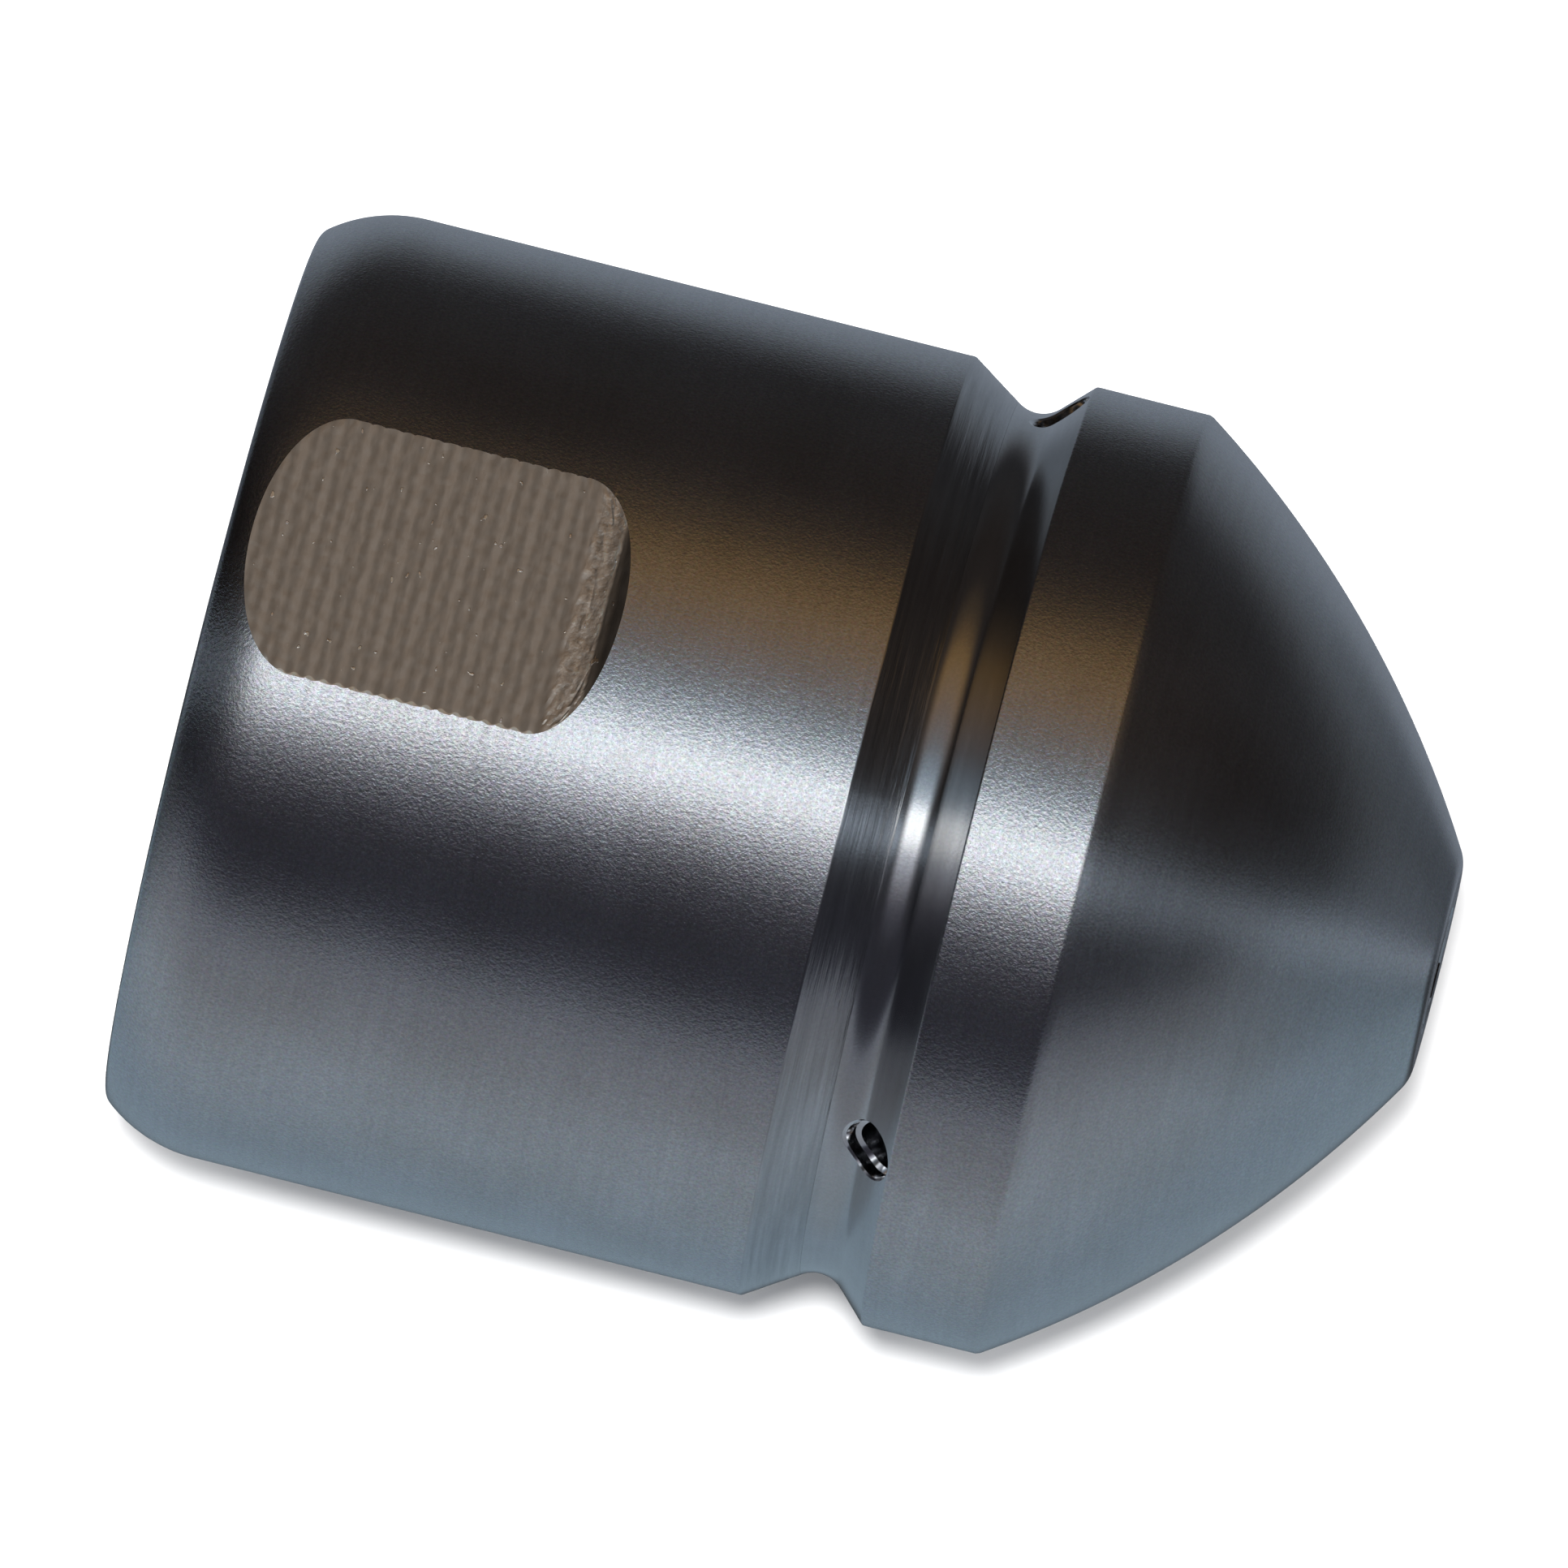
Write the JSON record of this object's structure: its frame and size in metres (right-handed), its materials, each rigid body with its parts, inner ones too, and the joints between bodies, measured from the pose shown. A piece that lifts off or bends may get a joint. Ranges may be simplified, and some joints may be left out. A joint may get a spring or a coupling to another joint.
{
  "type": "jetting nozzle",
  "caption": "Bullet-shaped steel hose nozzle with a threaded inlet, spanner flats, a V groove of rear-facing jets and an ogive nose with a small front jet.",
  "frame": {"origin": "centre of the inlet's mouth, on the rear face", "axes": "+X along the nozzle's axis, towards the nose; +Z out of one spanner flat"},
  "size_m": [0.03, 0.023, 0.023],
  "materials": {
    "barrel_steel": "satin turned stainless steel",
    "head_steel": "satin turned stainless steel",
    "insert_steel": "bright hardened steel",
    "seal_rubber": "matt nitrile rubber",
    "washer_rubber": "matt nitrile rubber"
  },
  "bodies": {
    "root": {"nozzle_body": "barrel_steel", "jet_head": "head_steel", "head_seal_ring": "seal_rubber", "rear_jet_insert_1": "insert_steel", "rear_jet_insert_2": "insert_steel", "rear_jet_insert_3": "insert_steel", "front_jet_insert": "insert_steel", "inlet_seal_washer": "washer_rubber"}
  },
  "joints": []
}
